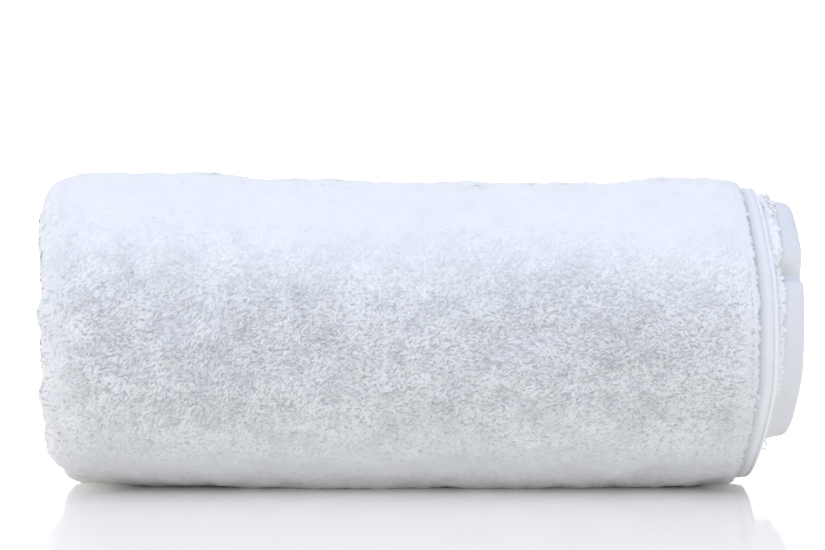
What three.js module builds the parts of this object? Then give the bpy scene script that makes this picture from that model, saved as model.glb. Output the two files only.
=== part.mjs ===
// Rolled bath towel: one sheet of white cotton terry, folded in half along its length and rolled up.
// The fold lies at the roll's left end. The two long hems lie at its right end, where the inner ply
// stands out past the outer one. Millimetres, +Z up, X along the roll, the front towards -Y and the
// resting surface at Z = 0.
import * as THREE from "three";

const { clamp, degToRad, euclideanModulo, lerp, radToDeg, smoothstep } = THREE.MathUtils;

// The flat towel
const TOWEL_LENGTH = 1400;
const TOWEL_WIDTH = 700;
const PLY = 5.9; // terry cloth with the pile of both faces
const HEM_WIDTH = 10;
const HEM_THICKNESS = 2.6; // turned and stitched, with no pile
const HEM_STEP = 0.8; // over which the pile ends at a hem, and by which a hem's edge is rounded

// How it is folded and rolled
const PLY_GAP = 0.7; // between the two folded plies
const TURN_GAP = 1.1; // between one turn and the next
const OVERHANG = 13.5; // of the inner ply's edge past the outer ply's edge
const CORE_RADIUS = 9; // of the folded cloth's middle at the heart of the roll
const LOOSE_END = degToRad(-50); // low at the back, counted from +Y towards +Z
const AXIS_HEIGHT = 68.5; // of the roll's axis over the surface, where the foot is pressed flat
const LEFT_INSET = 2; // by which the inner turns' fold is drawn in from the outermost turn's
const RIGHT_INSET = 3; // by which their hems are drawn in
const INSET_START = degToRad(306); // how far in from the loose end this begins
const INSET_WHOLE = degToRad(540); // and how far in it is whole

// A pinch in the hem that stands out, high on the front
const PINCH_ANGLE = degToRad(152);
const PINCH_SPREAD = degToRad(10);
const PINCH_DEPTH = 6;

// How uneven the roll is: what each section adds to its radius at the top and at the foot
const SECTIONS = [
  { x: -179, top: -0.9, foot: -10 },
  { x: -162, top: 3.5, foot: -6.4 },
  { x: -98, top: 4, foot: -2.2 },
  { x: -68, top: 1.4, foot: -1.4 },
  { x: 10, top: -1.2, foot: -1 },
  { x: 130, top: 1.5, foot: -3.3 },
  { x: 148, top: 0.6, foot: -5.2 },
  { x: 165, top: -3.8, foot: -12 },
  { x: 180, top: -6.4, foot: -26 },
];

// What the plies inside the outermost one add to that near their free edges
const INNER_END = [
  { x: 152, top: 0, foot: 0 },
  { x: 160, top: 0.8, foot: -3.5 },
  { x: 166, top: 3.8, foot: -9 },
  { x: 172, top: 3.8, foot: -8 },
  { x: 180, top: 1, foot: 0 },
];

// How far the ends stand out, by the direction round the roll in degrees from the back over the top:
// the fold at the left, the free edges at the right, and the outermost ply's edge beside those
const ENDS = [
  { direction: -90, left: -7, right: -5, outermost: -4 },
  { direction: -40, left: -2, right: 0, outermost: 0 },
  { direction: 0, left: 1, right: 0, outermost: 0 },
  { direction: 60, left: 3, right: 0, outermost: -2 },
  { direction: 90, left: 3, right: 0, outermost: -4.5 },
  { direction: 120, left: 3, right: 0, outermost: -4 },
  { direction: 140, left: 0.6, right: 0, outermost: -2 },
  { direction: 160, left: -0.9, right: 0, outermost: 0 },
  { direction: 190, left: -0.2, right: 0, outermost: 0 },
  { direction: 205, left: -0.4, right: -1, outermost: -1.2 },
  { direction: 225, left: -1.6, right: -2, outermost: -4 },
  { direction: 240, left: -4.5, right: -2.6, outermost: -5 },
  { direction: 270, left: -7, right: -5, outermost: -4 },
];
const OUTERMOST_TO = degToRad(315); // how far in from the loose end the outermost ply goes
const INNER_FROM = degToRad(400); // and where it is one of the inner plies

// Spacing of the facets round the winding and round the fold
const STEP_LENGTH = 15;
const LARGEST_STEP = degToRad(25);
const FOLD_FACETS = 6;

const PITCH = 2 * PLY + PLY_GAP + TURN_GAP;
const REACH = Math.sqrt(CORE_RADIUS ** 2 + (PITCH * TOWEL_LENGTH) / Math.PI);
const LAST_ANGLE = (2 * Math.PI * (REACH - CORE_RADIUS)) / PITCH; // REACH is the radius at angle 0
const PLY_MIDDLE = (PLY + PLY_GAP) / 2; // of a ply, from the plane between the two
const FACE = PLY + PLY_GAP / 2; // of a ply's outside, from that plane
const SLIT = PLY_GAP / 2;
const ROLL_RADIUS = REACH + FACE;
const OUTER_PLY = (TOWEL_WIDTH - Math.PI * PLY_MIDDLE - OVERHANG) / 2;
const INNER_PLY = OUTER_PLY + OVERHANG;
const FOLD_X = (FACE - INNER_PLY) / 2;
const OUTER_EDGE = FOLD_X + OUTER_PLY;
const INNER_EDGE = FOLD_X + INNER_PLY;

// A hem's outline, from one face of its ply round its edge to the other face.
function addHem(shape, edge, from, to) {
  const middle = (from + to) / 2;
  const half = (Math.sign(from - to) * HEM_THICKNESS) / 2;
  shape.lineTo(edge - HEM_WIDTH, from);
  shape.lineTo(edge - HEM_WIDTH + HEM_STEP, middle + half);
  shape.lineTo(edge - HEM_STEP, middle + half);
  shape.lineTo(edge, middle);
  shape.lineTo(edge - HEM_STEP, middle - half);
  shape.lineTo(edge - HEM_WIDTH + HEM_STEP, middle - half);
  shape.lineTo(edge - HEM_WIDTH, to);
}

// A ply's face at one height, with a point at each section between the fold and the hem.
function addFace(shape, height, edge, towardsHem) {
  const sections = height > 0 ? SECTIONS : [...SECTIONS, ...INNER_END];
  const places = sections.map((row) => row.x).sort((a, b) => (towardsHem ? a - b : b - a));
  for (const x of places) {
    if (x > FOLD_X + FACE && x < edge - HEM_WIDTH - HEM_STEP) shape.lineTo(x, height);
  }
}

// The folded towel cut across its length: X along the roll and Y outwards, a slit between the plies.
function foldedOutline() {
  const shape = new THREE.Shape();
  shape.moveTo(FOLD_X, FACE);
  addFace(shape, FACE, OUTER_EDGE, true);
  addHem(shape, OUTER_EDGE, FACE, SLIT);
  addFace(shape, SLIT, OUTER_EDGE, false);
  shape.lineTo(FOLD_X, 0);
  addFace(shape, -SLIT, INNER_EDGE, true);
  addHem(shape, INNER_EDGE, -SLIT, -FACE);
  addFace(shape, -FACE, INNER_EDGE, false);
  shape.lineTo(FOLD_X, -FACE);
  shape.absarc(FOLD_X, 0, FACE, -Math.PI / 2, -1.5 * Math.PI, true);
  return shape.extractPoints(FOLD_FACETS / 2).shape.slice(1).reverse();
}

// The radius of the folded cloth's middle at an angle from the loose end.
function windingRadius(angle) {
  return REACH - (PITCH * angle) / (2 * Math.PI);
}

// The cuts round the winding, from the loose end in to the heart. The towel's two short ends are hems.
function windingCuts() {
  const outerHem = HEM_WIDTH / REACH;
  const innerHem = LAST_ANGLE - HEM_WIDTH / CORE_RADIUS;
  const cuts = [
    { angle: 0, hem: true },
    { angle: outerHem, hem: true },
  ];
  let angle = outerHem + HEM_STEP / REACH;
  while (angle < innerHem - LARGEST_STEP / 2) {
    cuts.push({ angle, hem: false });
    angle += Math.min(STEP_LENGTH / windingRadius(angle), LARGEST_STEP);
  }
  cuts.push({ angle: innerHem, hem: false });
  cuts.push({ angle: innerHem + HEM_STEP / CORE_RADIUS, hem: true });
  cuts.push({ angle: LAST_ANGLE, hem: true });
  return cuts;
}

// A point of the folded towel's outline where the cloth is thinned to a hem.
function thinned({ x, y }) {
  const share = HEM_THICKNESS / PLY;
  if (x >= FOLD_X) {
    const middle = Math.sign(y) * PLY_MIDDLE;
    return { x, y: middle + (y - middle) * share };
  }
  const radius = Math.hypot(x - FOLD_X, y);
  const scale = (PLY_MIDDLE + (radius - PLY_MIDDLE) * share) / radius;
  return { x: FOLD_X + (x - FOLD_X) * scale, y: y * scale };
}

// A table's row at a place between its rows.
function between(rows, key, place) {
  const next = clamp(rows.filter((row) => row[key] < place).length, 1, rows.length - 1);
  const [a, b] = [rows[next - 1], rows[next]];
  const share = clamp((place - a[key]) / (b[key] - a[key]), 0, 1);
  return Object.fromEntries(Object.keys(a).map((name) => [name, lerp(a[name], b[name], share)]));
}

// Where a point of the outline lies once it is rolled: X along the roll, Y out from the roll's axis.
function wound(point, { angle, hem }) {
  const { x, y } = hem ? thinned(point) : point;
  const direction = LOOSE_END + angle;
  const outermost = y > 0 ? 1 - smoothstep(angle, OUTERMOST_TO, INNER_FROM) : 0;
  const along = clamp((x - FOLD_X) / INNER_PLY, 0, 1);
  const end = between(ENDS, "direction", euclideanModulo(radToDeg(direction) + 90, 360) - 90);
  let woundX = x + lerp(LEFT_INSET, -RIGHT_INSET, along) * smoothstep(angle, INSET_START, INSET_WHOLE);
  woundX += end.right * along ** 3 - end.left * (1 - along) ** 2;
  woundX += end.outermost * outermost * along ** 8;
  let radius = windingRadius(angle) + y;
  if (y < 0) {
    const away = (direction - PINCH_ANGLE) / PINCH_SPREAD;
    radius -= PINCH_DEPTH * Math.exp(-away * away) * smoothstep(x, OUTER_EDGE, INNER_EDGE);
  }
  const section = between(SECTIONS, "x", woundX);
  const inner = between(INNER_END, "x", woundX);
  const top = section.top + inner.top * (1 - outermost);
  const foot = section.foot + inner.foot * (1 - outermost);
  radius += lerp(foot, top, (Math.sin(direction) + 1) / 2) * (radius / ROLL_RADIUS);
  return new THREE.Vector2(woundX, radius);
}

// The solid: one cut after another round the winding, closed by the two short ends.
function towelGeometry() {
  const outline = foldedOutline();
  const count = outline.length;
  const cuts = windingCuts();
  const rings = cuts.map((cut) => outline.map((point) => wound(point, cut)));
  const last = (rings.length - 1) * count;
  const points = [];
  const faces = [];
  rings.forEach((ring, k) => {
    const direction = LOOSE_END + cuts[k].angle;
    for (const { x, y: radius } of ring) {
      points.push(x, radius * Math.cos(direction));
      points.push(Math.max(0, AXIS_HEIGHT + radius * Math.sin(direction)));
    }
  });
  for (let k = 0; k < last; k += count) {
    for (let i = 0; i < count; i++) {
      const j = (i + 1) % count;
      faces.push(k + i, k + j, k + count + i);
      faces.push(k + j, k + count + j, k + count + i);
    }
  }
  for (const [a, b, c] of THREE.ShapeUtils.triangulateShape(rings[0], [])) {
    faces.push(c, b, a);
  }
  for (const [a, b, c] of THREE.ShapeUtils.triangulateShape(rings.at(-1), [])) {
    faces.push(last + a, last + b, last + c);
  }
  const geometry = new THREE.BufferGeometry();
  geometry.setAttribute("position", new THREE.Float32BufferAttribute(points, 3));
  geometry.setIndex(faces);
  geometry.computeBoundingBox();
  const middle = geometry.boundingBox.getCenter(new THREE.Vector3());
  geometry.translate(-middle.x, -middle.y, 0);
  geometry.computeVertexNormals();
  return geometry;
}

const terry = new THREE.MeshStandardMaterial({ color: 0xeceef4, roughness: 0.95, metalness: 0 });
const towel = new THREE.Mesh(towelGeometry(), terry);
towel.name = "towel";

const rolledTowel = new THREE.Group();
rolledTowel.add(towel);

export default rolledTowel;
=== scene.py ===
import math

import bpy
import numpy as np
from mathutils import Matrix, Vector


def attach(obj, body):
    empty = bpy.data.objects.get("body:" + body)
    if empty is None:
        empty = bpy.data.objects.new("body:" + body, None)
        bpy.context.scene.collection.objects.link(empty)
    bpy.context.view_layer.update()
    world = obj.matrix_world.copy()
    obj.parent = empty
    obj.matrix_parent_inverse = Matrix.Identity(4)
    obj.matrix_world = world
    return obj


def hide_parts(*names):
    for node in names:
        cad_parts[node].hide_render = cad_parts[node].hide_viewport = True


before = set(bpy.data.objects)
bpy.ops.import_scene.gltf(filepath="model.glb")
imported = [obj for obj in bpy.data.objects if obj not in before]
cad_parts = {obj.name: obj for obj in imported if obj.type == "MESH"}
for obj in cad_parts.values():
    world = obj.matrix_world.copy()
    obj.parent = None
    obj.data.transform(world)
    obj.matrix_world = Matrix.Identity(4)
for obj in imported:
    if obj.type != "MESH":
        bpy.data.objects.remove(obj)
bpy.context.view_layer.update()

# A white cotton terry bath towel, folded in half along its length and rolled up, on a pale glossy surface.
# Lengths are in millimetres until a mesh is made; w and s are places across and along the flat towel.
MM = 0.001
rng = np.random.default_rng(11)

# The flat towel
TOWEL_LENGTH = 1400.0
TOWEL_WIDTH = 700.0
PLY = 5.9               # the cloth with the pile of both faces
BED = 4.4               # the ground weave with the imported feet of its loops
HEM_WIDTH = 10.0
BARE_STRIP = 4.5        # more without pile beside the hem that stands out, low on the front
HEM_THICKNESS = 2.2
HEM_SINK = 1.0          # how far the hem's band sinks towards the pile
RIM_WIDTH = 2.1         # the hem's turned edge, thicker than its band
RIM_THICKNESS = 3.0
GROOVE_WIDTH = 0.7      # the stitched line beside that edge
GROOVE_THICKNESS = 1.7
EDGE_ROUND = 0.9        # how far in the cloth's edge is rounded
THREAD_RADIUS = 0.4

# Its pile
LOOP_LENGTH = 3.0       # longer and fewer than real terry's loops, so that they show
LOOP_HALF_WIDTH = 0.66
LOOP_RISE = 0.5         # how far a loop's flanks stand over the bed
LOOP_RIDGE = 0.6        # how far its ridge stands over those
BACKWARD_SHARE = 0.35   # of the loops, lying the other way
UPPER_SHARE = 0.25      # of them, lying over their neighbours
UPPER_RISE = 0.42       # and how far they lie over them
STRAY_SHARE = 0.015     # of them, standing off
STRAY_RISE = 0.2, 1.0
LEAN_SPREAD = math.radians(26)
ALONG_HEM = 2.4         # how far from a hem the loops lie along it, and how far they lie off it
OFF_HEM = 4.4
PIT_LEVEL = -0.55       # of the field in which the tufts part, where the bed shows
PIT_EASE = 1.4
GRAIN_STRETCH = 1.3     # how much longer light and dark patches are along the roll
PARTING_STRETCH = 1.4   # and the partings
ROOT_SHARE = 0.97       # of the bed's height, where the loops are rooted
LUMP = 0.95             # half the height of the pile's soft lumps
BEAD = 0.7              # height of the soft bead in which the pile ends at a hem
CREST = 0.6             # half the height of the tufts along the top
FUZZ = 1.5              # half the height of the soft puffs along the fold
EVEN_SHADE = 0.8        # painted shade of loops combed flat at the top, between the darkest and the lightest
LOW_SHADE = 0.64        # painted shade of those at the foot, darker than at the top
EDGE_SHADE = 0.7        # painted shade of those round the fold

# How it is folded and rolled
PLY_GAP = 0.7
TURN_GAP = 1.1
OVERHANG = 13.5         # of the inner ply past the outer one
CORE_RADIUS = 9.0
LOOSE_END = math.radians(-50)
OUTER_TURN = 6.2        # the winding's angle up to which its outside shows
SHOWN_STRIP = 24.0      # of the inner ply, past the outer one's edge
AXIS_HEIGHT = 67.6
CLOTH_CLEAR = 0.15      # the lowest that the cloth lies over the floor, and its loops
LOOP_CLEAR = 0.12
LEFT_INSET = 2.0        # how far the inner turns lie in from the ends
RIGHT_INSET = 3.0
INSET_START = math.radians(306)
INSET_WHOLE = math.radians(540)
OWN_FORM_ENDS = math.radians(315), math.radians(400)    # where the outermost ply's own form fades out
PINCH_FADE = 8.0        # the winding's angle over which a pinch fades
FRONT_FACE = math.radians(180)                          # the direction that faces the camera

PITCH = 2 * PLY + PLY_GAP + TURN_GAP
REACH = math.sqrt(CORE_RADIUS ** 2 + PITCH * TOWEL_LENGTH / math.pi)
LAST_ANGLE = 2 * math.pi * (REACH - CORE_RADIUS) / PITCH
PLY_MIDDLE = (PLY + PLY_GAP) / 2
FACE = PLY + PLY_GAP / 2
ROLL_RADIUS = REACH + FACE
FOLD_ARC = math.pi * PLY_MIDDLE
OUTER_PLY = (TOWEL_WIDTH - FOLD_ARC - OVERHANG) / 2
INNER_PLY = OUTER_PLY + OVERHANG
FOLD_END = OUTER_PLY + FOLD_ARC
FOLD_X = (FACE - INNER_PLY) / 2
OUTER_EDGE = FOLD_X + OUTER_PLY

# The part's frame has its origin under the middle of the solid's box
CENTRE_X = 1.5
CENTRE_Y = -3.36

# How uneven the roll is: what each section adds to its radius at the top and at the foot
SECTIONS = np.array([
    # x, top, foot
    (-179, 0.0, -9.0),
    (-171, 3.4, -6.8),
    (-149, 5.2, -4.2),
    (-120, 4.6, -2.4),
    (-92, 4.0, -1.0),
    (-80, 2.2, -0.8),
    (-60, 2.4, -0.4),
    (-45, 1.2, -0.2),
    (-22, 0.0, 0.0),
    (7, -1.0, 0.0),
    (22, 0.4, 0.0),
    (44, -1.0, -0.2),
    (81, -0.4, -0.8),
    (133, 2.4, -2.4),
    (148, 1.4, -4.2),
    (157, -1.2, -7.0),
    (165, -3.0, -11.0),
    (180, -5.5, -25.0),
])

# What the plies inside the outermost one add to that near their free edges
INNER_END = np.array([
    # x, top, foot
    (150, 0.0, 0.0),
    (158, 0.5, -2.0),
    (163, 2.0, -7.0),
    (167, 4.5, -10.0),
    (172, 4.0, -8.0),
    (180, 1.0, 0.0),
])

# How far the ends stand out, by the direction round the roll in degrees from the back over the top: the fold
# at the left, the free edges at the right, and the outermost ply's edge beside those
ENDS = np.array([
    # direction, left, right, outermost
    (-90, -7.0, -5.0, -4.0),
    (-40, -2.0, 0.0, 0.0),
    (0, 1.0, 0.0, 0.0),
    (60, 3.0, 0.0, -2.0),
    (90, 3.0, 0.0, -4.5),
    (120, 3.0, 0.0, -4.0),
    (130, 1.8, 0.0, -3.4),
    (140, 0.6, 0.0, -2.0),
    (150, -0.4, 0.0, -0.6),
    (160, -0.9, 0.0, 0.0),
    (175, -0.6, 0.0, 0.0),
    (190, -0.2, 0.0, 0.0),
    (205, -0.4, -1.0, -1.2),
    (215, -0.8, -1.6, -2.6),
    (225, -1.6, -2.0, -4.0),
    (240, -4.5, -2.6, -5.0),
    (270, -7.0, -5.0, -4.0),
])

# Soft troughs (minus) and ridges (plus) round the outermost ply: place along the roll, its lean per radian,
# the direction they are deepest at, how far round they reach, their depth and half width
CREASES = np.array([
    # x, lean, direction, reach, depth, width
    (-72, 3.0, math.radians(200), math.radians(60), -1.0, 8.0),
    (-30, -8.0, math.radians(120), math.radians(50), -0.6, 16.0),
    (28, 5.0, math.radians(140), math.radians(60), -0.7, 14.0),
    (84, -4.0, math.radians(110), math.radians(40), -0.7, 12.0),
    (-140, 4.0, math.radians(170), math.radians(50), 0.8, 16.0),
    (60, 6.0, math.radians(200), math.radians(40), 0.7, 20.0),
])

# A pinch in the hem that stands out, high on the front, between two swellings
PINCHES = np.array([
    # direction, spread above, spread below, depth
    (math.radians(140.5), math.radians(3.4), math.radians(4.6), 15.0),
    (math.radians(130.0), math.radians(7.0), math.radians(5.0), -2.6),
    (math.radians(151.0), math.radians(5.0), math.radians(6.0), -1.2),
])


def smoothstep(value, low, high):
    t = np.clip((value - low) / (high - low), 0, 1)
    return t * t * (3 - 2 * t)


def winding_radius(angle):
    return REACH - PITCH * angle / (2 * math.pi)


def angle_at(s):
    """The angle round the winding at a length along the towel."""
    return 2 * math.pi / PITCH * (REACH - np.sqrt(np.maximum(REACH ** 2 - PITCH * s / math.pi, 0)))


def arc_length(angle):
    """The length along the towel at an angle round the winding."""
    return REACH * angle - PITCH * angle ** 2 / (4 * math.pi)


PROFILE_STEP = 2.0
PROFILE_X = np.arange(-200, 201, PROFILE_STEP)
SOFT_REACH = 8          # steps
SOFT_SPREAD = 3.0


def softened(rows, column):
    """A column of a table of sections as a soft curve along the roll."""
    plain = np.interp(PROFILE_X, rows[:, 0], rows[:, column])
    weights = np.exp(-0.5 * (np.arange(-SOFT_REACH, SOFT_REACH + 1) * PROFILE_STEP / SOFT_SPREAD) ** 2)
    padded = np.pad(plain, SOFT_REACH, mode="edge")
    return np.convolve(padded, weights / weights.sum(), mode="valid")


PROFILES = [softened(SECTIONS, 1), softened(SECTIONS, 2), softened(INNER_END, 1), softened(INNER_END, 2)]


def wound(x, height, angle):
    """Where points of the folded towel lie once it is rolled, in the part's frame."""
    direction = LOOSE_END + angle
    degrees = (np.degrees(direction) + 90) % 360 - 90
    deep = smoothstep(angle, INSET_START, INSET_WHOLE)
    along = np.clip((x - FOLD_X) / INNER_PLY, 0, 1)
    outermost = smoothstep(height, -1.0, 1.5) * (1 - smoothstep(angle, *OWN_FORM_ENDS))
    left, right, own = [np.interp(degrees, ENDS[:, 0], ENDS[:, k]) for k in (1, 2, 3)]
    x_wound = x + deep * (LEFT_INSET - (LEFT_INSET + RIGHT_INSET) * along)
    x_wound = x_wound - left * (1 - along) ** 2 + right * along ** 3 + own * outermost * along ** 8
    radius = winding_radius(angle) + height
    hem_side = smoothstep(-height, -1.0, 1.0) * smoothstep(x, OUTER_EDGE - 2, OUTER_EDGE + 6)
    for at, above, below, depth in PINCHES:
        away = np.radians(degrees) - at
        away = away / np.where(away < 0, above, below)
        radius = radius - depth * np.exp(-away * away) * hem_side * np.exp(-angle / PINCH_FADE)
    up = (np.sin(direction) + 1) / 2
    top, foot, inner_top, inner_foot = [np.interp(x_wound, PROFILE_X, curve) for curve in PROFILES]
    top = top + inner_top * (1 - outermost)
    foot = foot + inner_foot * (1 - outermost)
    radius = radius + (foot + (top - foot) * up) * radius / ROLL_RADIUS
    for x0, lean, at, reach, depth, width in CREASES:
        off = (x_wound - x0 - lean * (direction - at)) / width
        round_it = (direction - at) / reach
        radius = radius + outermost * depth * np.exp(-off * off - round_it * round_it)
    y = radius * np.cos(direction) + CENTRE_Y
    z = AXIS_HEIGHT + radius * np.sin(direction)
    return np.stack([x_wound + CENTRE_X, y, np.maximum(z, CLOTH_CLEAR)], axis=-1)


def across(w):
    """The folded section at w across the towel from the outer ply's edge: place and outward direction."""
    on_fold = np.clip((w - OUTER_PLY) / FOLD_ARC, 0, 1)
    turn = math.pi / 2 + math.pi * on_fold
    x = FOLD_X + PLY_MIDDLE * np.cos(turn)
    height = PLY_MIDDLE * np.sin(turn)
    x = x + np.maximum(OUTER_PLY - w, 0) + np.maximum(w - OUTER_PLY - FOLD_ARC, 0)
    return x, height, np.cos(turn), np.sin(turn)


def cloth(w, angle, lift):
    """Points on the towel: w across it, angle round the winding, lift off its middle, outward on the fold."""
    x, height, nx, nh = across(w)
    return wound(x + nx * lift, height + nh * lift, angle)


NOISE_CELLS = 64


def soft_noise(a, b, cell, seed):
    """A soft random field over two lengths, from -1 to 1, that wanders over about one cell."""
    table = np.random.default_rng(seed).uniform(-1, 1, (NOISE_CELLS, NOISE_CELLS))
    u, v = a / cell + 10 * NOISE_CELLS, b / cell + 10 * NOISE_CELLS
    i, j = np.floor(u).astype(int), np.floor(v).astype(int)
    part_u, part_v = smoothstep(u - i, 0, 1), smoothstep(v - j, 0, 1)

    def corner(p, q):
        return table[p % NOISE_CELLS, q % NOISE_CELLS]

    low = corner(i, j) * (1 - part_u) + corner(i + 1, j) * part_u
    high = corner(i, j + 1) * (1 - part_u) + corner(i + 1, j + 1) * part_u
    return low * (1 - part_v) + high * part_v


def mesh_piece(name, points, faces, materials, face_slots=None, uv=None, shade=None):
    """A smooth mesh from arrays: points in millimetres, faces all of one length."""
    corners = faces.shape[1]
    mesh = bpy.data.meshes.new(name)
    mesh.vertices.add(len(points))
    mesh.vertices.foreach_set("co", (points * MM).astype(np.float32).ravel())
    mesh.loops.add(faces.size)
    mesh.loops.foreach_set("vertex_index", faces.astype(np.int32).ravel())
    mesh.polygons.add(len(faces))
    mesh.polygons.foreach_set("loop_start", np.arange(0, faces.size, corners, dtype=np.int32))
    mesh.polygons.foreach_set("use_smooth", np.ones(len(faces), dtype=bool))
    for material in materials:
        mesh.materials.append(material)
    if face_slots is not None:
        mesh.polygons.foreach_set("material_index", face_slots.astype(np.int32))
    if uv is not None:
        layer = mesh.uv_layers.new(name="cloth")
        layer.data.foreach_set("uv", uv[faces.ravel()].astype(np.float32).ravel())
    if shade is not None:
        layer = mesh.attributes.new("shade", "FLOAT", "POINT")
        layer.data.foreach_set("value", shade.astype(np.float32))
    mesh.update(calc_edges=True)
    piece = bpy.data.objects.new(name, mesh)
    bpy.context.scene.collection.objects.link(piece)
    return piece


def srgb(code):
    """An sRGB hex colour as linear RGBA."""
    values = [int(code[i:i + 2], 16) / 255 for i in (1, 3, 5)]
    return tuple(v / 12.92 if v <= 0.04045 else ((v + 0.055) / 1.055) ** 2.4 for v in values) + (1.0,)


def add_node(tree, kind, settings=None, links=None):
    """Adds a node, sets its properties or its sockets by name or number, and links outputs into it."""
    node = tree.nodes.new(kind)
    for key, value in (settings or {}).items():
        if isinstance(key, int) or key in node.inputs:
            node.inputs[key].default_value = value
        else:
            setattr(node, key, value)
    for key, (source, output) in (links or {}).items():
        tree.links.new(source.outputs[output], node.inputs[key])
    return node


def set_stops(ramp, stops):
    """Sets a colour ramp's places, from 0 to 1, and the colours at them."""
    elements = ramp.color_ramp.elements
    while len(elements) < len(stops):
        elements.new(0.5)
    for element, (at, colour) in zip(elements, stops):
        element.position = at
        element.color = colour


def new_material(name, **settings):
    material = bpy.data.materials.new(name)
    material.use_nodes = True
    tree = material.node_tree
    shader = tree.nodes["Principled BSDF"]
    for key, value in settings.items():
        shader.inputs[key.replace("_", " ")].default_value = value
    return material, tree, shader


MIX_FACTOR, MIX_LOW, MIX_HIGH, MIX_RESULT = 0, 6, 7, 2     # a Mix node's colour sockets, by number

# Cotton terry loops: matte white yarn with a faint cool tint and a soft sheen, and painted shade: light
# on each loop's ridge and greyer at its foot and flanks, where light is lost between the loops
terry, tree, shader = new_material("cotton terry loops", Roughness=0.9, IOR=1.53, Specular_IOR_Level=0.2,
                                   Sheen_Weight=0.2, Sheen_Roughness=0.5)
# the painted shade of each point of the loops, from light to grey
loop_light = add_node(tree, "ShaderNodeAttribute", {"attribute_name": "shade"})
yarn = add_node(tree, "ShaderNodeMix",
                {"data_type": "RGBA", MIX_LOW: srgb("#b9babe"), MIX_HIGH: srgb("#fafafa")},
                {MIX_FACTOR: (loop_light, "Fac")})
tree.links.new(yarn.outputs[MIX_RESULT], shader.inputs["Base Color"])

# Cotton terry bed: the imported feet of the loops seen in the gaps, matte strands with painted shade, greyer in
# the hollows on the front, and even at the top, the foot and the back. They are as coarse as the loops, so that
# they show
FOOT_LENGTH = 3.0
FOOT_WIDTH = 1.3
FOOT_SLANT = math.radians(-22)
bed, tree, shader = new_material("cotton terry bed", Roughness=0.95, IOR=1.53, Specular_IOR_Level=0.15)
bed_uv = add_node(tree, "ShaderNodeUVMap", {"uv_map": "cloth"})
turned = add_node(tree, "ShaderNodeMapping",
                  {"Rotation": (0, 0, FOOT_SLANT), "Scale": (1 / FOOT_LENGTH, 1 / FOOT_WIDTH, 1)},
                  {"Vector": (bed_uv, "UV")})
feet = add_node(tree, "ShaderNodeTexNoise", {"Scale": 1.0, "Detail": 2.0, "Distortion": 0.6},
                {"Vector": (turned, "Vector")})
# painted shade: the bed greyer where its strands are low, in the hollows between them
strands = add_node(tree, "ShaderNodeMapRange", {"From Min": 0.3, "From Max": 0.7}, {"Value": (feet, "Fac")})
bed_place = add_node(tree, "ShaderNodeTexCoord")
bed_metres = add_node(tree, "ShaderNodeSeparateXYZ", None, {"Vector": (bed_place, "Object")})
# no painted shade at the top, the foot and the back, where the pile is combed flat
upper = add_node(tree, "ShaderNodeMapRange", {"From Min": 0.085, "From Max": 0.122},
                 {"Value": (bed_metres, "Z")})
lower = add_node(tree, "ShaderNodeMapRange", {"From Min": 0.03, "From Max": 0.01},
                 {"Value": (bed_metres, "Z")})
rear = add_node(tree, "ShaderNodeMapRange", {"From Min": 0.0, "From Max": 0.03},
                {"Value": (bed_metres, "Y")})
high_or_low = add_node(tree, "ShaderNodeMath", {"operation": "MAXIMUM"},
                       {0: (upper, "Result"), 1: (lower, "Result")})
combed = add_node(tree, "ShaderNodeMath", {"operation": "MAXIMUM"},
                  {0: (high_or_low, "Value"), 1: (rear, "Result")})
bed_light = add_node(tree, "ShaderNodeMath", {"operation": "MAXIMUM"},
                     {0: (strands, "Result"), 1: (combed, "Value")})
# the bed's white cotton, with painted shade in its hollows
bed_tone = add_node(tree, "ShaderNodeMix",
                    {"data_type": "RGBA", MIX_LOW: srgb("#bebfc3"), MIX_HIGH: srgb("#f0f0f2")},
                    {MIX_FACTOR: (bed_light, "Value")})
tree.links.new(bed_tone.outputs[MIX_RESULT], shader.inputs["Base Color"])
bed_bump = add_node(tree, "ShaderNodeBump", {"Strength": 0.6, "Distance": 0.0007}, {"Height": (feet, "Fac")})
tree.links.new(bed_bump.outputs["Normal"], shader.inputs["Normal"])

# Plain-woven hem: flat matte cotton with ribs across the band, a stitched line beside its turned edge, and
# painted light and shade: lighter on the turned edge, greyer in the stitched line's groove and where the band
# dips beside the pile. The ribs are coarser than the real weave, so that they show
RIB_SPACING = 1.3
WAVE_PERIOD = 0.314     # of a wave texture at a scale of one
HEM_SPAN = 12.0
# Painted light and shade across the hem: lightest on the turned edge, greyer in the stitched line's groove,
# darkest where the band dips beside the pile
HEM_TONES = (
    # in from the edge, colour
    (0.0, "#f4f5f7"),
    (2.0, "#f2f3f5"),
    (2.3, "#e1e2e5"),
    (2.7, "#e3e4e7"),
    (3.1, "#ecedef"),
    (5.0, "#ecedef"),
    (8.0, "#d9dadd"),
    (9.8, "#c6c7ca"),
    (11.5, "#e3e4e7"),
)
hem, tree, shader = new_material("plain-woven hem", Roughness=0.85, IOR=1.53, Specular_IOR_Level=0.25)
hem_uv = add_node(tree, "ShaderNodeUVMap", {"uv_map": "cloth"})
hem_place = add_node(tree, "ShaderNodeSeparateXYZ", None, {"Vector": (hem_uv, "UV")})
across_hem = add_node(tree, "ShaderNodeMapRange", {"From Max": HEM_SPAN}, {"Value": (hem_place, "X")})
hem_tone = add_node(tree, "ShaderNodeValToRGB", None, {"Fac": (across_hem, "Result")})
set_stops(hem_tone, [(at / HEM_SPAN, srgb(code)) for at, code in HEM_TONES])
tree.links.new(hem_tone.outputs["Color"], shader.inputs["Base Color"])
ribs = add_node(tree, "ShaderNodeTexWave",
                {"wave_type": "BANDS", "bands_direction": "Y", "Scale": WAVE_PERIOD / RIB_SPACING,
                 "Distortion": 0.6, "Detail": 1.0},
                {"Vector": (hem_uv, "UV")})
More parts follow.
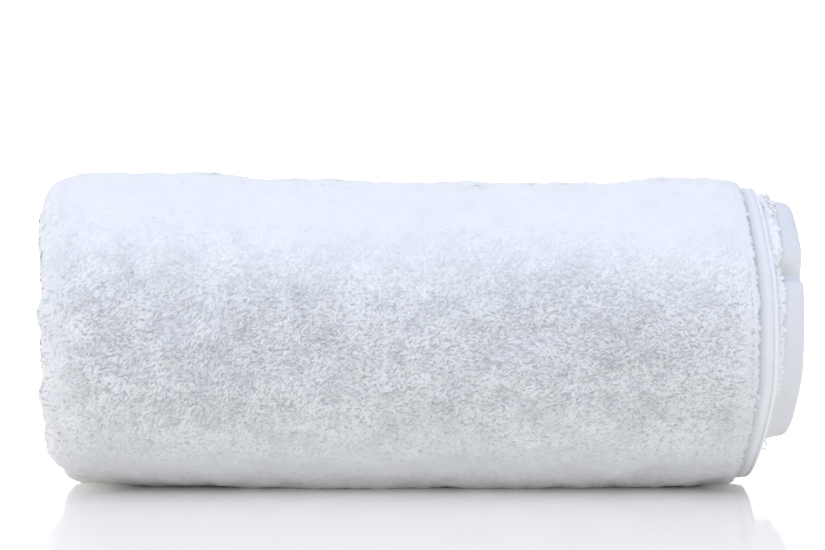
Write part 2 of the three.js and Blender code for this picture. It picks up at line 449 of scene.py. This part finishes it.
hem_bump = add_node(tree, "ShaderNodeBump", {"Strength": 0.4, "Distance": 0.0003}, {"Height": (ribs, "Fac")})
tree.links.new(hem_bump.outputs["Normal"], shader.inputs["Normal"])

# Sewing thread: smooth white cotton, twisted, so that its tone wanders a little every 2 mm
TWIST = 2.0
thread_cotton, tree, shader = new_material("sewing thread", Roughness=0.7, IOR=1.53, Specular_IOR_Level=0.3)
thread_place = add_node(tree, "ShaderNodeTexCoord")
twist = add_node(tree, "ShaderNodeTexNoise", {"Scale": 1 / (TWIST * MM), "Detail": 3.0, "Roughness": 0.6},
                 {"Vector": (thread_place, "Object")})
thread_tone = add_node(tree, "ShaderNodeMix",
                       {"data_type": "RGBA", MIX_LOW: srgb("#cfd1d6"), MIX_HIGH: srgb("#dcdee3")},
                       {MIX_FACTOR: (twist, "Fac")})
tree.links.new(thread_tone.outputs[MIX_RESULT], shader.inputs["Base Color"])


def off_the_front(direction):
    """The angle of a direction from the front, minus towards the top."""
    return np.angle(np.exp(1j * (direction - FRONT_FACE)))


def flattened(x, direction):
    """How far the pile is combed flat: not at all on the front's middle, wholly at the top, foot and back;
    the change lies lower at mid length and towards the right end."""
    off_front = off_the_front(direction)
    lower = math.radians(6) * smoothstep(x, 40, 130) + math.radians(7) * np.exp(-(x / 45) ** 2)
    lower = lower + math.radians(5) * soft_noise(x, 0 * x, 40, 61)
    above = smoothstep(lower - off_front, math.radians(10), math.radians(63))
    below = smoothstep(off_front, math.radians(11), math.radians(56))
    return np.maximum(above, below)


def on_the_back(x, direction):
    """How far a place lies on the back, away from both ends."""
    inner = smoothstep(x, -160, -135) * smoothstep(-x, -150, -125)
    return smoothstep(np.abs(off_the_front(direction)), math.radians(112), math.radians(150)) * inner


def aslant(x, direction):
    """How far the pile lies aslant: on the left and high up, and along the roll on the right and low down."""
    left = smoothstep(-x, -60, 120)
    high = smoothstep(np.sin(direction), -0.3, 0.8)
    return np.maximum(left * 0.8, high * 0.6)


LUMP_SLANT = math.radians(38)
LUMP_STRETCH = 1.5      # how much longer a lump is along its lie


def lumps(x, s, direction):
    """The soft lumps of the pile: longer along its lie than across it."""
    u = x * math.cos(LUMP_SLANT) + s * math.sin(LUMP_SLANT)
    v = s * math.cos(LUMP_SLANT) - x * math.sin(LUMP_SLANT)
    lying = soft_noise(x / LUMP_STRETCH, s, 9, 21)
    slanting = soft_noise(u / LUMP_STRETCH, v, 9, 23)
    part = aslant(x, direction)
    tufts = 0.6 * soft_noise(x, s, 5.5, 27)
    wide = 0.8 * soft_noise(x, s, 18, 25)
    return (lying * (1 - part) + slanting * part + tufts + wide) * (1 - 0.15 * flattened(x, direction))


# Tufts that stand out of the fold on the front
TUFTS = (
    # direction, spread, height
    (math.radians(161), math.radians(3.4), 1.9),
    (math.radians(196), math.radians(4.0), 1.6),
    (math.radians(229), math.radians(5.0), 1.8),
)


def hem_width(w, s):
    """The hem's width: wider low on the front, where the ply that stands out shows no pile."""
    direction = LOOSE_END + angle_at(s)
    low = smoothstep(direction, math.radians(196), math.radians(204)) * (direction < math.radians(310))
    return HEM_WIDTH + BARE_STRIP * low * (w > TOWEL_WIDTH / 2)


def past_hem(w, s):
    """How far a place on the towel lies in from the hem along its edge."""
    return np.minimum(w, TOWEL_WIDTH - w) - hem_width(w, s)


def beside_fold(w):
    """How near the outermost fold a place lies: one on the fold, nothing 18 mm from it."""
    off = np.maximum(OUTER_PLY - w, w - OUTER_PLY - FOLD_ARC)
    return 1 - smoothstep(off, 0, 18)


def pile_ground(w, s):
    """The height of the ground that the loops stand on over the even cloth: lumps, a bead along the hem,
    puffs and tufts on the fold, and small tufts along the top."""
    x = across(w)[0]
    direction = LOOSE_END + angle_at(s)
    past = past_hem(w, s)
    bead = BEAD * (0.7 + 0.6 * soft_noise(s, past, 9, 31)) * (1 - smoothstep(past, 2.5, 8))
    puffs = FUZZ * (0.35 + 0.65 * smoothstep(direction, math.radians(130), math.radians(165)))
    fuzz = puffs * (soft_noise(s, w, 8, 33) + 0.6 * soft_noise(s, w, 4, 35)) * beside_fold(w)
    for toward, spread, height in TUFTS:
        fuzz = fuzz + height * np.exp(-((direction - toward) / spread) ** 2) * beside_fold(w)
    skyline = np.exp(-((direction - math.radians(88)) / math.radians(14)) ** 2)
    crest = CREST * skyline * (soft_noise(x, s, 9, 63) + 0.8 * soft_noise(x, s, 4.5, 65))
    plain = (1 - smoothstep(past, 10, 2)) * (1 - beside_fold(w))
    return ((LUMP * lumps(x, s, direction) + crest) * plain + bead) * smoothstep(past, 0.2, 1.6) + fuzz


# The cloth: one thin sheet through every turn, with its hems
def half_thickness(w, s):
    """Half the cloth's thickness at w across and s along the towel."""
    edge = np.minimum(w, TOWEL_WIDTH - w)
    inward = np.minimum(edge, np.minimum(s, TOWEL_LENGTH - s))
    parts = [inward < RIM_WIDTH, inward < RIM_WIDTH + GROOVE_WIDTH, inward < hem_width(w, s)]
    outer = w < TOWEL_WIDTH / 2
    rim = np.where(outer, RIM_THICKNESS, HEM_THICKNESS)
    groove = np.where(outer, GROOVE_THICKNESS, HEM_THICKNESS)
    thick = np.select(parts, [rim, groove, HEM_THICKNESS + 0 * w], BED)
    rounded = np.sqrt(np.clip(1 - (1 - np.clip(edge / EDGE_ROUND, 0, 1)) ** 2, 0, 1))
    return np.maximum(thick / 2 * rounded, 0.05)


def sunk(w, s):
    """How far the hem's band lies towards the roll's axis, on the fold's inside or outside."""
    edge = np.minimum(w, TOWEL_WIDTH - w)
    depth = HEM_SINK * smoothstep(edge, 2.6, 9.0) * (edge < hem_width(w, s))
    return np.where(w < TOWEL_WIDTH / 2, -depth, depth)


PINCH_REACH = math.radians(9)
PINCH_STEP = 0.9
FRONT_TURN = 2.1, 5.7   # the winding's angles over which the outermost turn faces the front
FRONT_STEP = 3.5
HIDDEN_STEP = 9.0
WIDEST_STEP = math.radians(14)


def round_step(angle):
    """How far apart the sheet's lines round the winding lie: closest at the pinch, close on the front."""
    if abs(angle + LOOSE_END - PINCHES[0, 0]) < PINCH_REACH:
        return PINCH_STEP
    return FRONT_STEP if FRONT_TURN[0] < angle < FRONT_TURN[1] else HIDDEN_STEP


# The sheet's lines across the towel, in from its edges, over the outer ply, the fold and the hidden inner ply
hem_lines = [0, 0.15, 0.45, 0.9, 2.0, 2.2, 2.7, 3.0, 4.5, 7, 9.6, 10.2, 11, 12, 14.2, 14.8, 17, 20]
outer_lines = list(np.linspace(24, OUTER_PLY - 12, 104))
fold_lines = [OUTER_PLY - 8, OUTER_PLY - 3]
fold_lines += list(OUTER_PLY + FOLD_ARC * np.linspace(0, 1, 11))
fold_lines += [FOLD_END + 3, FOLD_END + 8]
inner_lines = list(np.linspace(FOLD_END + 16, TOWEL_WIDTH - 28, 14))
far_hem_lines = [TOWEL_WIDTH - v for v in reversed(hem_lines)]
lines_across = np.array(hem_lines + outer_lines + fold_lines + inner_lines + far_hem_lines)

# Its lines round the winding, from the loose end's hem to the one in the heart
hem_turn = HEM_WIDTH / REACH
hem_core = HEM_WIDTH / CORE_RADIUS
lines_round = [0, 0.9 / REACH, 2.0 / REACH, 2.2 / REACH, 0.6 * hem_turn, hem_turn - 0.003, hem_turn + 0.003]
angle = hem_turn + 0.05
while angle < LAST_ANGLE - hem_core - 0.05:
    lines_round.append(angle)
    angle += min(round_step(angle) / winding_radius(angle), WIDEST_STEP)
lines_round += [LAST_ANGLE - hem_core - 0.03, LAST_ANGLE - hem_core + 0.03]
lines_round += list(LAST_ANGLE - hem_core * np.array([0.8, 0.5, 0.2, 0.0]))

grid_w, grid_t = np.meshgrid(lines_across, np.array(lines_round), indexing="ij")
grid_s = arc_length(grid_t)
half = half_thickness(grid_w, grid_s)
ground = pile_ground(grid_w, grid_s)
sink = sunk(grid_w, grid_s)
outer_side = (grid_w < FOLD_END) & (grid_t < OUTER_TURN)
shown_under = (grid_t < OUTER_TURN) * (grid_w > TOWEL_WIDTH - SHOWN_STRIP)
raised = np.where(outer_side, ground, 0)
lowered = np.where(outer_side, 0, -np.maximum(ground, 0) * shown_under)
outside = cloth(grid_w, grid_t, half + raised + sink)
inside = cloth(grid_w, grid_t, -half + lowered + sink)
n_points = grid_w.size
index = np.arange(n_points).reshape(grid_w.shape)
quads = np.stack([index[:-1, :-1], index[:-1, 1:], index[1:, 1:], index[1:, :-1]], -1).reshape(-1, 4)
under = index + n_points
quads_under = np.stack([under[:-1, :-1], under[1:, :-1], under[1:, 1:], under[:-1, 1:]], -1).reshape(-1, 4)
border = np.concatenate([index[:, 0], index[-1, 1:], index[-2::-1, -1], index[0, -2:0:-1]])
border_next = np.roll(border, -1)
quads_border = np.stack([border, border_next, border_next + n_points, border + n_points], -1)
faces = np.concatenate([quads, quads_under, quads_border])
points = np.concatenate([outside.reshape(-1, 3), inside.reshape(-1, 3)])
uv = np.stack([grid_w.ravel(), grid_s.ravel()], -1)
uv = np.concatenate([uv, uv])
face_w = uv[faces, 0].mean(1)
face_s = uv[faces, 1].mean(1)
inward = np.minimum(np.minimum(face_w, TOWEL_WIDTH - face_w), np.minimum(face_s, TOWEL_LENGTH - face_s))
own_hem = np.where(inward < face_s, hem_width(face_w, face_s), HEM_WIDTH)
sheet = mesh_piece("towel_cloth", points, faces, [bed, hem], (inward < own_hem).astype(int), uv)


# The pile: loops of yarn lying over one another
def scatter(w0, w1, s0, s1, spacing):
    """Jittered places over a stretch of the towel, w across and s along it."""
    nu = max(1, round((w1 - w0) / spacing))
    nv = max(1, round((s1 - s0) / spacing))
    u, v = np.meshgrid(np.arange(nu), np.arange(nv), indexing="ij")
    u = (u + rng.uniform(0, 1, u.shape)) / nu
    v = (v + rng.uniform(0, 1, v.shape)) / nv
    return (w0 + u * (w1 - w0)).ravel(), (s0 + v * (s1 - s0)).ravel()


def unit(vectors):
    return vectors / np.linalg.norm(vectors, axis=1, keepdims=True)


# A loop's points: its root, two rings of ridge and flanks, and its tip
LOOP_POINTS = 8
LOOP_RINGS = (
    # far along, share of the rise, share of the bend
    (0.28, 0.85, 0.5),
    (0.7, 1.0, 1.0),
)
LOOP_TRIANGLES = np.array([
    (0, 2, 1), (0, 1, 3), (1, 2, 5), (1, 5, 4), (1, 6, 3), (1, 4, 6), (4, 5, 7), (4, 7, 6),
])
# Painted shade of a loop's points, root first: the ridge lightest, the root, flanks and tip darker
POINT_SHADES = np.array([0.3, 1.0, 0.35, 0.35, 1.0, 0.35, 0.35, 0.55])
PROBE = 0.3             # how far off the cloth is felt for its directions


def loops(w, s, ground, face, length, thick, ridge, rise, lean, sunk_in):
    """Loops of yarn rooted at w, s on the ground of a face of the cloth (1 the fold's outside, -1 its
    inside), leaning by an angle from the roll's axis: each a bent ridge that follows the cloth, its flanks
    sunk in the bed."""
    n = len(w)
    t = angle_at(s)
    lift = face * ground(w, s)
    dt = PROBE / winding_radius(t)
    along = unit(cloth(w - PROBE, t, lift) - cloth(w + PROBE, t, lift))
    round_it = unit(cloth(w, t + dt, lift) - cloth(w, t - dt, lift))
    up = unit(cloth(w, t, lift + face * PROBE) - cloth(w, t, lift - face * PROBE))
    heading = np.cos(lean)[:, None] * along - np.sin(lean)[:, None] * round_it
    sideways = unit(np.cross(heading, up))
    bend = rng.normal(0, 0.2, n)

    def on_cloth(far, off):
        """The place on the ground part of the way along each loop, off to its side by part of its bend."""
        there_w = w - far * length * np.cos(lean)
        there_s = s - far * length * np.sin(lean)
        place = cloth(there_w, angle_at(there_s), face * ground(there_w, there_s))
        return place + sideways * (off * bend * length)[:, None]

    verts = np.empty((n, LOOP_POINTS, 3))
    verts[:, 0] = on_cloth(0.0, 0.0)
    verts[:, 7] = on_cloth(1.0, 0.6)
    for ring, (far, high, off) in enumerate(LOOP_RINGS):
        middle = on_cloth(far, off)
        verts[:, 1 + 3 * ring] = middle + up * (high * rise + ridge)[:, None]
        flank = up * (high * rise * 0.3 - sunk_in)[:, None]
        verts[:, 2 + 3 * ring] = middle + sideways * thick[:, None] + flank
        verts[:, 3 + 3 * ring] = middle - sideways * thick[:, None] + flank
    tris = (LOOP_TRIANGLES[None] + LOOP_POINTS * np.arange(n)[:, None, None]).reshape(-1, 3)
    points = verts.reshape(-1, 3)
    points[:, 2] = np.maximum(points[:, 2], LOOP_CLEAR)
    return points, tris


def bed_top(w, s):
    """The height of the bed over the cloth's middle, on the fold's outside."""
    return BED / 2 * ROOT_SHARE + np.where(angle_at(s) < OUTER_TURN, pile_ground(w, s), 0)


def bed_under(w, s):
    """The height of the bed on the fold's inside, which shows beside the inner ply's hem alone."""
    shown = (angle_at(s) < OUTER_TURN) & (w > TOWEL_WIDTH - SHOWN_STRIP)
    return BED / 2 * ROOT_SHARE + np.where(shown, pile_ground(w, s), 0)


def loop_shade(flat, even, around):
    """The painted light and shade of each point of the loops: the ridge lightest, foot and flanks greyer,
    standing in for their neighbours' shade, all even where the pile is combed flat."""
    own = POINT_SHADES[None] + rng.normal(0, 0.12, len(flat))[:, None]
    level = even[:, None] + (own - even[:, None]) * (1 - 0.92 * flat)[:, None]
    return (level + (around * (1 - 0.75 * flat))[:, None]).ravel()


def pile(w, s, face, size):
    """Loops with the lie of this towel's pile: along the roll on the right and low down, aslant on the left
    and high up, and along or off the hem beside it."""
    x = across(w)[0]
    direction = LOOSE_END + angle_at(s)
    n = len(w)
    slant = math.radians(8) + math.radians(34) * aslant(x, direction)
    slant = slant + math.radians(30) * soft_noise(x, s, 12, 3) + math.radians(26) * soft_noise(x, s, 4, 4)
    slant = slant + rng.normal(0, LEAN_SPREAD, n)
    slant = slant + np.where(rng.uniform(0, 1, n) < BACKWARD_SHARE, math.pi, 0)
    past = past_hem(w, s)
    along_hem = math.pi / 2 + math.pi * (rng.uniform(0, 1, n) < 0.5)
    off_hem = np.where(past < ALONG_HEM, along_hem, math.pi) + rng.normal(0, 0.25, n)
    slant = np.where(past < OFF_HEM, off_hem, slant)
    edge = np.maximum(1 - smoothstep(past, 2, 14), beside_fold(w))
    flat = np.maximum(flattened(x, direction) * (1 - 0.6 * on_the_back(x, direction)), 0.85 * edge)
    length = size * np.clip(rng.normal(LOOP_LENGTH, 0.4, n), 2.0, 4.2)
    thick = np.sqrt(size) * np.clip(rng.normal(LOOP_HALF_WIDTH, 0.08, n), 0.45, 0.9)
    thick = thick * (1 + 0.5 * flat)
    ridge = np.sqrt(size) * LOOP_RIDGE * (1 - 0.9 * flat)
    rise = (LOOP_RISE + rng.normal(0, 0.25, n) * (1 - 0.8 * flat)) * (1 - 0.6 * flat)
    upper = rng.uniform(0, 1, n) < UPPER_SHARE * (1 - flat)
    rise = np.where(upper, rise + UPPER_RISE, rise)
    stray = (rng.uniform(0, 1, n) < STRAY_SHARE * (1 - flat)) & (past > 4)
    rise = np.where(stray, rise + rng.uniform(*STRAY_RISE, n), rise)
    points, tris = loops(w, s, bed_top if face > 0 else bed_under, face, length, thick, ridge,
                         np.maximum(rise, 0.03), slant, 0.1 + 0.2 * flat)
    grain = x / GRAIN_STRETCH
    around = 0.16 * soft_noise(grain, s, 4.5, 51) + 0.12 * soft_noise(grain, s, 11, 53)
    # Painted light and shade by place: loops at the foot darker than those high up, those round the fold at
    # EDGE_SHADE, and those of the inner ply's strip lightest
    even = LOW_SHADE + (EVEN_SHADE - LOW_SHADE) * smoothstep(np.sin(direction), -0.1, 0.5)
    even = np.where(face < 0, 1.0, even + (EDGE_SHADE - even) * beside_fold(w))
    return points, tris, loop_shade(flat, even, around)


def parting(x, s):
    """A random field that is low where the tufts part."""
    along = x / PARTING_STRETCH
    return soft_noise(along, s, 3.2, 41) + 0.6 * soft_noise(along, s, 8, 43)


def in_a_pit(w, s):
    """Whether a loop is left out where the tufts part and the bed shows."""
    x = across(w)[0]
    direction = LOOSE_END + angle_at(s)
    open_here = (1 - flattened(x, direction)) * smoothstep(past_hem(w, s), 6, 16) * (1 - beside_fold(w))
    return parting(x, s) < PIT_LEVEL - PIT_EASE * (1 - open_here)


def length_at(turn_angle):
    return float(arc_length(np.array(turn_angle)))


PILE_START = HEM_WIDTH - 0.4
PILE_LENGTH = HEM_WIDTH, TOWEL_LENGTH - HEM_WIDTH
FRONT = length_at(math.radians(125)), length_at(math.radians(322))
ONE_TURN = length_at(2 * math.pi)
TWO_TURNS = length_at(4 * math.pi)
FAR_PILE = TOWEL_WIDTH - PILE_START
stretches_of_pile = {
    # places (across from, to, along from, to, spacing), face, size of the loops
    "pile_over_the_front": [
        (scatter(PILE_START, OUTER_PLY, *FRONT, 1.2), 1, 1.0),
        (scatter(PILE_START, PILE_START + 2.6, *FRONT, 0.8), 1, 0.6),
    ],
    "pile_over_the_back": [
        (scatter(PILE_START, OUTER_PLY, HEM_WIDTH, FRONT[0], 2.2), 1, 1.5),
        (scatter(PILE_START, OUTER_PLY, FRONT[1], ONE_TURN + 4, 2.2), 1, 1.5),
    ],
    "pile_at_the_ends": [
        (scatter(OUTER_PLY, FOLD_END, HEM_WIDTH, TWO_TURNS, 1.35), 1, 1.0),
        (scatter(OUTER_PLY, FOLD_END, TWO_TURNS, PILE_LENGTH[1], 1.7), 1, 1.2),
        (scatter(OUTER_PLY - 12, OUTER_PLY, ONE_TURN, TWO_TURNS, 1.5), 1, 1.0),
        (scatter(TOWEL_WIDTH - 16, FAR_PILE, HEM_WIDTH, ONE_TURN, 1.0), -1, 0.8),
        (scatter(TOWEL_WIDTH - 18, FAR_PILE, ONE_TURN, PILE_LENGTH[1], 1.9), -1, 1.2),
        (scatter(TOWEL_WIDTH - 18, FAR_PILE, *PILE_LENGTH, 1.9), 1, 1.2),
        (scatter(PILE_START, 18, ONE_TURN, PILE_LENGTH[1], 1.9), 1, 1.2),
    ],
}
LARGEST_PIECE = 198000  # triangles
pile_pieces = []
for name, stretches in stretches_of_pile.items():
    all_points, all_tris, all_shades, count = [], [], [], 0
    for (w, s), face, size in stretches:
        kept = (past_hem(w, s) > 0.3) & ~in_a_pit(w, s)
        points, tris, shades = pile(w[kept], s[kept], face, size)
        all_points.append(points)
        all_tris.append(tris + count)
        all_shades.append(shades)
        count += len(points)
    points = np.concatenate(all_points)
    tris = np.concatenate(all_tris)
    shades = np.concatenate(all_shades)
    n_loops = count // LOOP_POINTS
    n_pieces = max(1, math.ceil(len(tris) / LARGEST_PIECE))
    per_piece = math.ceil(n_loops / n_pieces)
    for k in range(n_pieces):
        # a loop has as many triangles as points, so both are cut at the same numbers
        a, b = k * per_piece * LOOP_POINTS, min((k + 1) * per_piece, n_loops) * LOOP_POINTS
        piece = mesh_piece(f"{name}_{k + 1}", points[a:b], tris[a:b] - a, [terry], shade=shades[a:b])
        pile_pieces.append(piece)


# Two loose ends of thread at the rim of the hem, low on the front
THREAD_SIDES = 6


def thread_end(direction, steps):
    """A thin tapering tube from the rim at a direction round the roll, through steps off that place."""
    root = cloth(np.array([0.5]), np.array([direction - LOOSE_END]), np.array([0.4]))
    path = root + np.array(steps)
    run = unit(np.gradient(path, axis=0))
    aside = unit(np.cross(run, (0.0, 1.0, 0.0)))
    over = np.cross(run, aside)
    turn = np.arange(THREAD_SIDES) * 2 * math.pi / THREAD_SIDES
    rings = np.cos(turn)[None, :, None] * aside[:, None] + np.sin(turn)[None, :, None] * over[:, None]
    radius = THREAD_RADIUS * np.linspace(1.0, 0.6, len(path))
    points = (path[:, None] + radius[:, None, None] * rings).reshape(-1, 3)
    tris = []
    for ring in range(len(path) - 1):
        for k in range(THREAD_SIDES):
            a, b = THREAD_SIDES * ring + k, THREAD_SIDES * ring + (k + 1) % THREAD_SIDES
            tris += [(a, b, b + THREAD_SIDES), (a, b + THREAD_SIDES, a + THREAD_SIDES)]
    last = THREAD_SIDES * (len(path) - 1)
    for k in range(1, THREAD_SIDES - 1):
        tris += [(0, k + 1, k), (last, last + k, last + k + 1)]
    return points, np.array(tris)


UPPER_STEPS = (0, 0, 0), (0.6, -0.3, -0.5), (1.2, -0.5, -1.3), (1.5, -0.5, -2.3), (1.1, -0.4, -3.0)
LOWER_STEPS = (0, 0, 0), (0.9, -0.3, -0.1), (1.8, -0.4, -0.5), (2.5, -0.4, -1.3)
upper_end, upper_tris = thread_end(math.radians(219), UPPER_STEPS)
lower_end, lower_tris = thread_end(math.radians(224), LOWER_STEPS)
threads = mesh_piece("loose_threads", np.concatenate([upper_end, lower_end]),
                     np.concatenate([upper_tris, lower_tris + len(upper_end)]), [thread_cotton])

for piece in [sheet, threads] + pile_pieces:
    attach(piece, "root")
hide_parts("towel")


# The surface it lies on, the backdrop, the light and the camera, in metres
def flat_panel(name, corners, material, location=(0, 0, 0)):
    """One four-sided panel of the studio."""
    mesh = bpy.data.meshes.new(name)
    mesh.from_pydata(corners, [], [(0, 1, 2, 3)])
    mesh.materials.append(material)
    panel = bpy.data.objects.new(name, mesh)
    panel.location = location
    bpy.context.scene.collection.objects.link(panel)
    return panel


# White acrylic: a smooth glossy sheet with a painted glow that stands in for light from below: brighter away
# from the towel, in a band before it, beside its ends and far to either side, and dark where it meets the towel,
# a painted contact shadow
acrylic, tree, shader = new_material("white acrylic", Base_Color=srgb("#c6c6c6"), Roughness=0.08, IOR=1.5,
                                     Emission_Color=srgb("#fffbf4"))
FRONT_REACH = 0.4
# Painted glow in front of the towel, fading out before it meets the floor
FRONT_GLOW = (
    # share of the way from that far in front of the towel's middle, strength
    (0.0, 0.0),
    (0.42, 0.0),
    (0.5, 0.315),
    (0.7, 0.315),
    (0.8, 0.29),
    (0.87, 0.2),
    (0.93, 0.0),
)
SIDE_REACH = 0.5
# Painted glow beside the towel's ends
SIDE_GLOW = (
    # share of the way that far to either side of the towel's middle, strength
    (0.27, 0.0),
    (0.33, 0.28),
    (0.36, 0.28),
    (0.44, 1.0),
    (0.7, 1.0),
    (0.8, 0.0),
)
floor_place = add_node(tree, "ShaderNodeTexCoord")
floor_metres = add_node(tree, "ShaderNodeSeparateXYZ", None, {"Vector": (floor_place, "Object")})
in_front = add_node(tree, "ShaderNodeMapRange", {"From Min": -FRONT_REACH, "From Max": 0.0},
                    {"Value": (floor_metres, "Y")})
front_glow = add_node(tree, "ShaderNodeValToRGB", None, {"Fac": (in_front, "Result")})
set_stops(front_glow, [(at, (strength, strength, strength, 1)) for at, strength in FRONT_GLOW])
aside = add_node(tree, "ShaderNodeMath", {"operation": "ABSOLUTE"}, {0: (floor_metres, "X")})
far_aside = add_node(tree, "ShaderNodeMapRange", {"From Min": 0.16, "From Max": 0.22, "To Max": 0.52},
                     {"Value": (aside, "Value")})
to_a_side = add_node(tree, "ShaderNodeMapRange", {"From Max": SIDE_REACH}, {"Value": (aside, "Value")})
side_glow = add_node(tree, "ShaderNodeValToRGB", None, {"Fac": (to_a_side, "Result")})
set_stops(side_glow, [(at, (strength, strength, strength, 1)) for at, strength in SIDE_GLOW])
not_in_front = add_node(tree, "ShaderNodeMapRange", {"From Min": -0.12, "From Max": -0.08},
                        {"Value": (floor_metres, "Y")})
beside_ends = add_node(tree, "ShaderNodeMath", {"operation": "MULTIPLY"},
                       {0: (side_glow, "Color"), 1: (not_in_front, "Result")})
sides = add_node(tree, "ShaderNodeMath", {"operation": "MAXIMUM"},
                 {0: (far_aside, "Result"), 1: (beside_ends, "Value")})
glow = add_node(tree, "ShaderNodeMath", {"operation": "MAXIMUM"},
                {0: (front_glow, "Color"), 1: (sides, "Value")})
# the painted glow drives the sheet's emission
tree.links.new(glow.outputs["Value"], shader.inputs["Emission Strength"])
FLOOR = 6.0             # half its side
floor = flat_panel("pale_floor",
                   [(-FLOOR, -FLOOR, 0), (FLOOR, -FLOOR, 0), (FLOOR, FLOOR, 0), (-FLOOR, FLOOR, 0)], acrylic)

# White paper: a matte backdrop, lit so that it is as white as the photo's
paper, tree, shader = new_material("white paper", Base_Color=srgb("#c8c8c8"), Roughness=0.9,
                                   Emission_Color=srgb("#ffffff"), Emission_Strength=1.5)
BACK_SIDE = 2.2
BACK_FOOT = -0.2
BACK_TOP = 6.0
BACK_AWAY = 3.0
backdrop = flat_panel("white_backdrop",
                      [(-BACK_SIDE, 0, BACK_FOOT), (BACK_SIDE, 0, BACK_FOOT),
                       (BACK_SIDE, 0, BACK_TOP), (-BACK_SIDE, 0, BACK_TOP)], paper, (0, BACK_AWAY, 0))

world = bpy.data.worlds.new("white studio")
bpy.context.scene.world = world
world.use_nodes = True
world.node_tree.nodes["Background"].inputs["Color"].default_value = srgb("#ffffff")
world.node_tree.nodes["Background"].inputs["Strength"].default_value = 0.105


def soft_light(name, size, watts, colour, location, tilt, turn=0):
    """A broad soft light, tilted up from straight down and turned round, in degrees."""
    light = bpy.data.lights.new(name, "AREA")
    light.shape = "RECTANGLE"
    light.size, light.size_y = size
    light.energy = watts
    light.color = srgb(colour)[:3]
    lamp = bpy.data.objects.new(name, light)
    lamp.location = location
    lamp.rotation_euler = (math.radians(tilt), 0, math.radians(turn))
    bpy.context.scene.collection.objects.link(lamp)


soft_light("soft light overhead", (1.6, 1.2), 8.5, "#f9faff", (0.0, -0.1, 1.5), 0)
soft_light("soft light above the front", (1.6, 0.6), 9.9, "#c1d2f9", (0.0, -0.8, 1.3), 33)
soft_light("soft light in front", (2.4, 0.8), 14.4, "#fcfffe", (0.0, -1.9, 0.45), 80)
soft_light("soft light at the left", (1.2, 0.6), 3.7, "#ffffff", (-1.0, 0.0, 0.25), 90, -90)
soft_light("soft light at the right", (1.2, 0.6), 1.3, "#ffffff", (1.0, 0.0, 0.25), 90, 90)

DISTANCE = 1.25
TILT = math.radians(4.0)
AIM = Vector((-0.003, -0.00016, 0.1008))
camera_data = bpy.data.cameras.new("camera")
camera_data.sensor_width = 36.0
camera_data.lens = 111.2
camera = bpy.data.objects.new("camera", camera_data)
camera.location = AIM + DISTANCE * Vector((0, -math.cos(TILT), math.sin(TILT)))
camera.rotation_euler = (math.pi / 2 - TILT, 0, 0)
bpy.context.scene.collection.objects.link(camera)
bpy.context.scene.camera = camera
bpy.context.scene.view_settings.view_transform = "Standard"
